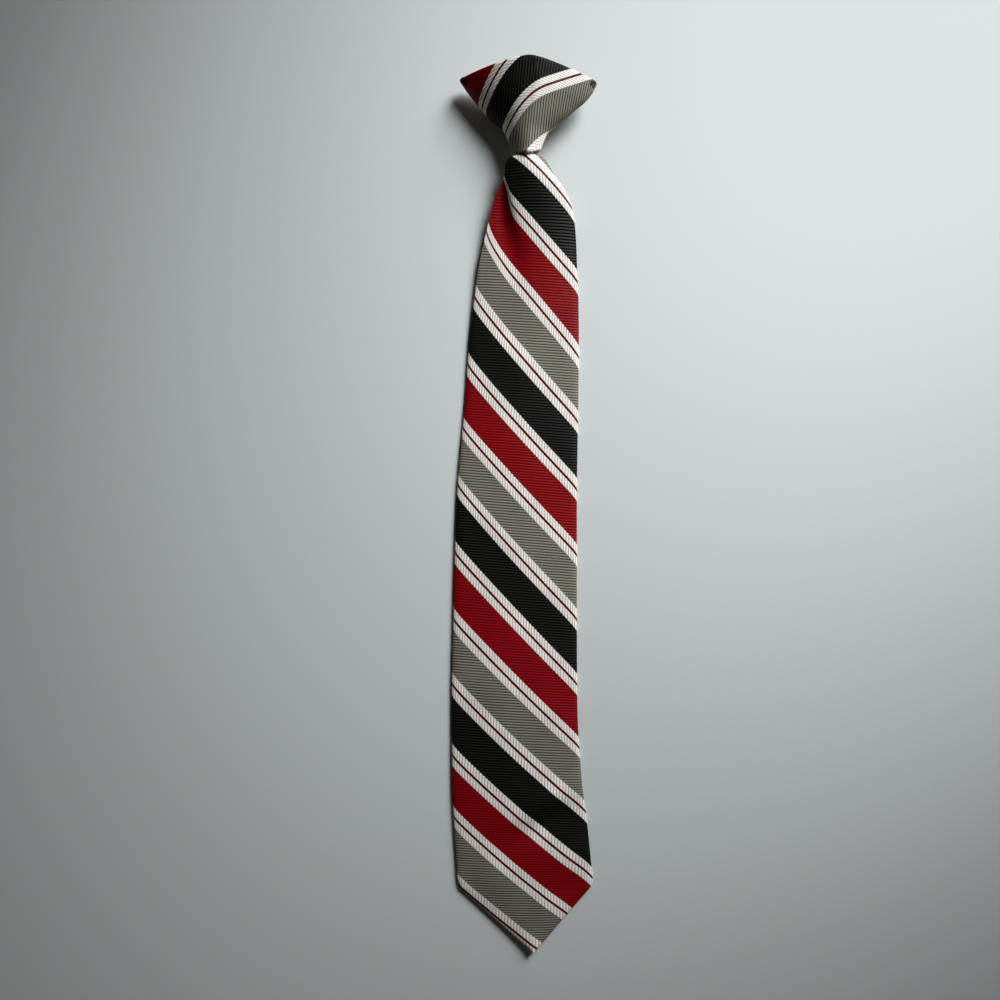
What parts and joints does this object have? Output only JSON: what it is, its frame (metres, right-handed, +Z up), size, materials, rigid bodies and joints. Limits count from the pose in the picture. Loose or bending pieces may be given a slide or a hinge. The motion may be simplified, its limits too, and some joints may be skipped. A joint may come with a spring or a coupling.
{
  "type": "clip-on tie",
  "caption": "Ready-knotted striped necktie of padded cloth with a pointed blade and a hidden clip behind the knot that hooks over a shirt collar.",
  "frame": {"origin": "centre of the tie's bounding box on the surface it lies on", "axes": "+X to the right across the blade's face, +Y along the tie from the point to the knot, +Z up out of the face"},
  "size_m": [0.0832, 0.508, 0.027],
  "materials": {
    "repp_cloth": "matte ribbed weave, diagonal stripes in black, deep red, grey and white",
    "clip_plastic": "satin black moulded plastic"
  },
  "bodies": {
    "root": {"blade": "repp_cloth", "knot": "repp_cloth", "clip": "clip_plastic"}
  },
  "joints": []
}
